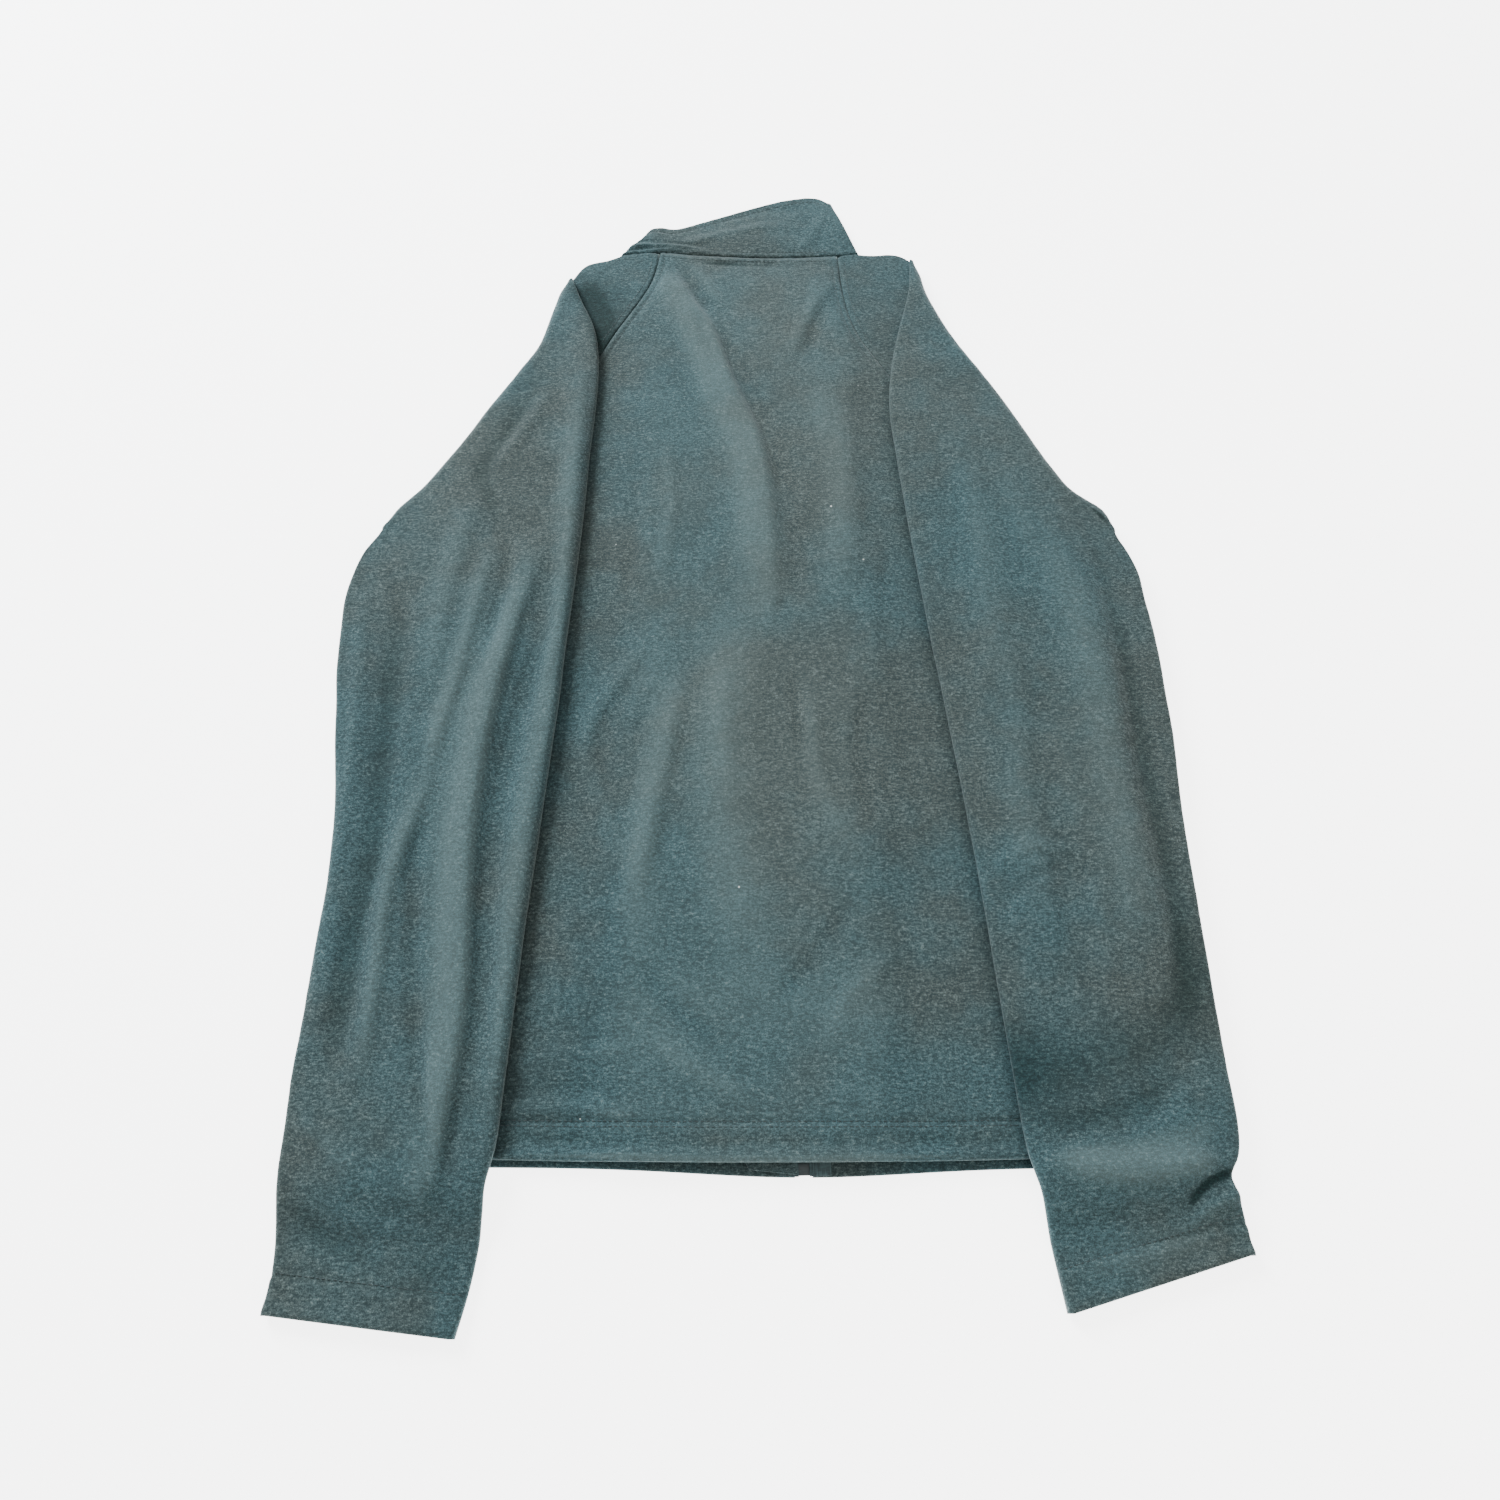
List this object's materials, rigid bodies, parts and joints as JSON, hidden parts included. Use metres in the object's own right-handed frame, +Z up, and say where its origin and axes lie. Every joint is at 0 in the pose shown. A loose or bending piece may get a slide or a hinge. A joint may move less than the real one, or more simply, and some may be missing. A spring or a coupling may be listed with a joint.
{
  "type": "fleece jacket",
  "caption": "Fleece jacket with raglan sleeves, stand collar and full front zip, lying face down on a surface with both sleeves folded over the back and down past the hem",
  "frame": {"origin": "middle of the jacket's footprint on the surface that it lies on", "axes": "+Y runs from the hem to the collar, +X to the right as the back is seen from above, +Z up from the surface"},
  "size_m": [0.5492, 0.8485, 0.0185],
  "materials": {
    "fleece": "brushed polyester fleece, matt, teal to grey green",
    "zip_tape": "woven polyester tape, dark green",
    "zip_plastic": "moulded polyester coil and stop, dark",
    "zip_metal": "worn dark lacquer"
  },
  "bodies": {
    "root": {"back": "fleece", "front_left": "fleece", "front_right": "fleece", "sleeve_left": "fleece", "sleeve_right": "fleece", "collar": "fleece", "zip_guard": "fleece", "zip_tape_left": "zip_tape", "zip_tape_right": "zip_tape", "zip_chain": "zip_plastic", "zip_stop": "zip_plastic", "zip_slider": "zip_metal", "zip_pull": "zip_metal"}
  },
  "joints": []
}
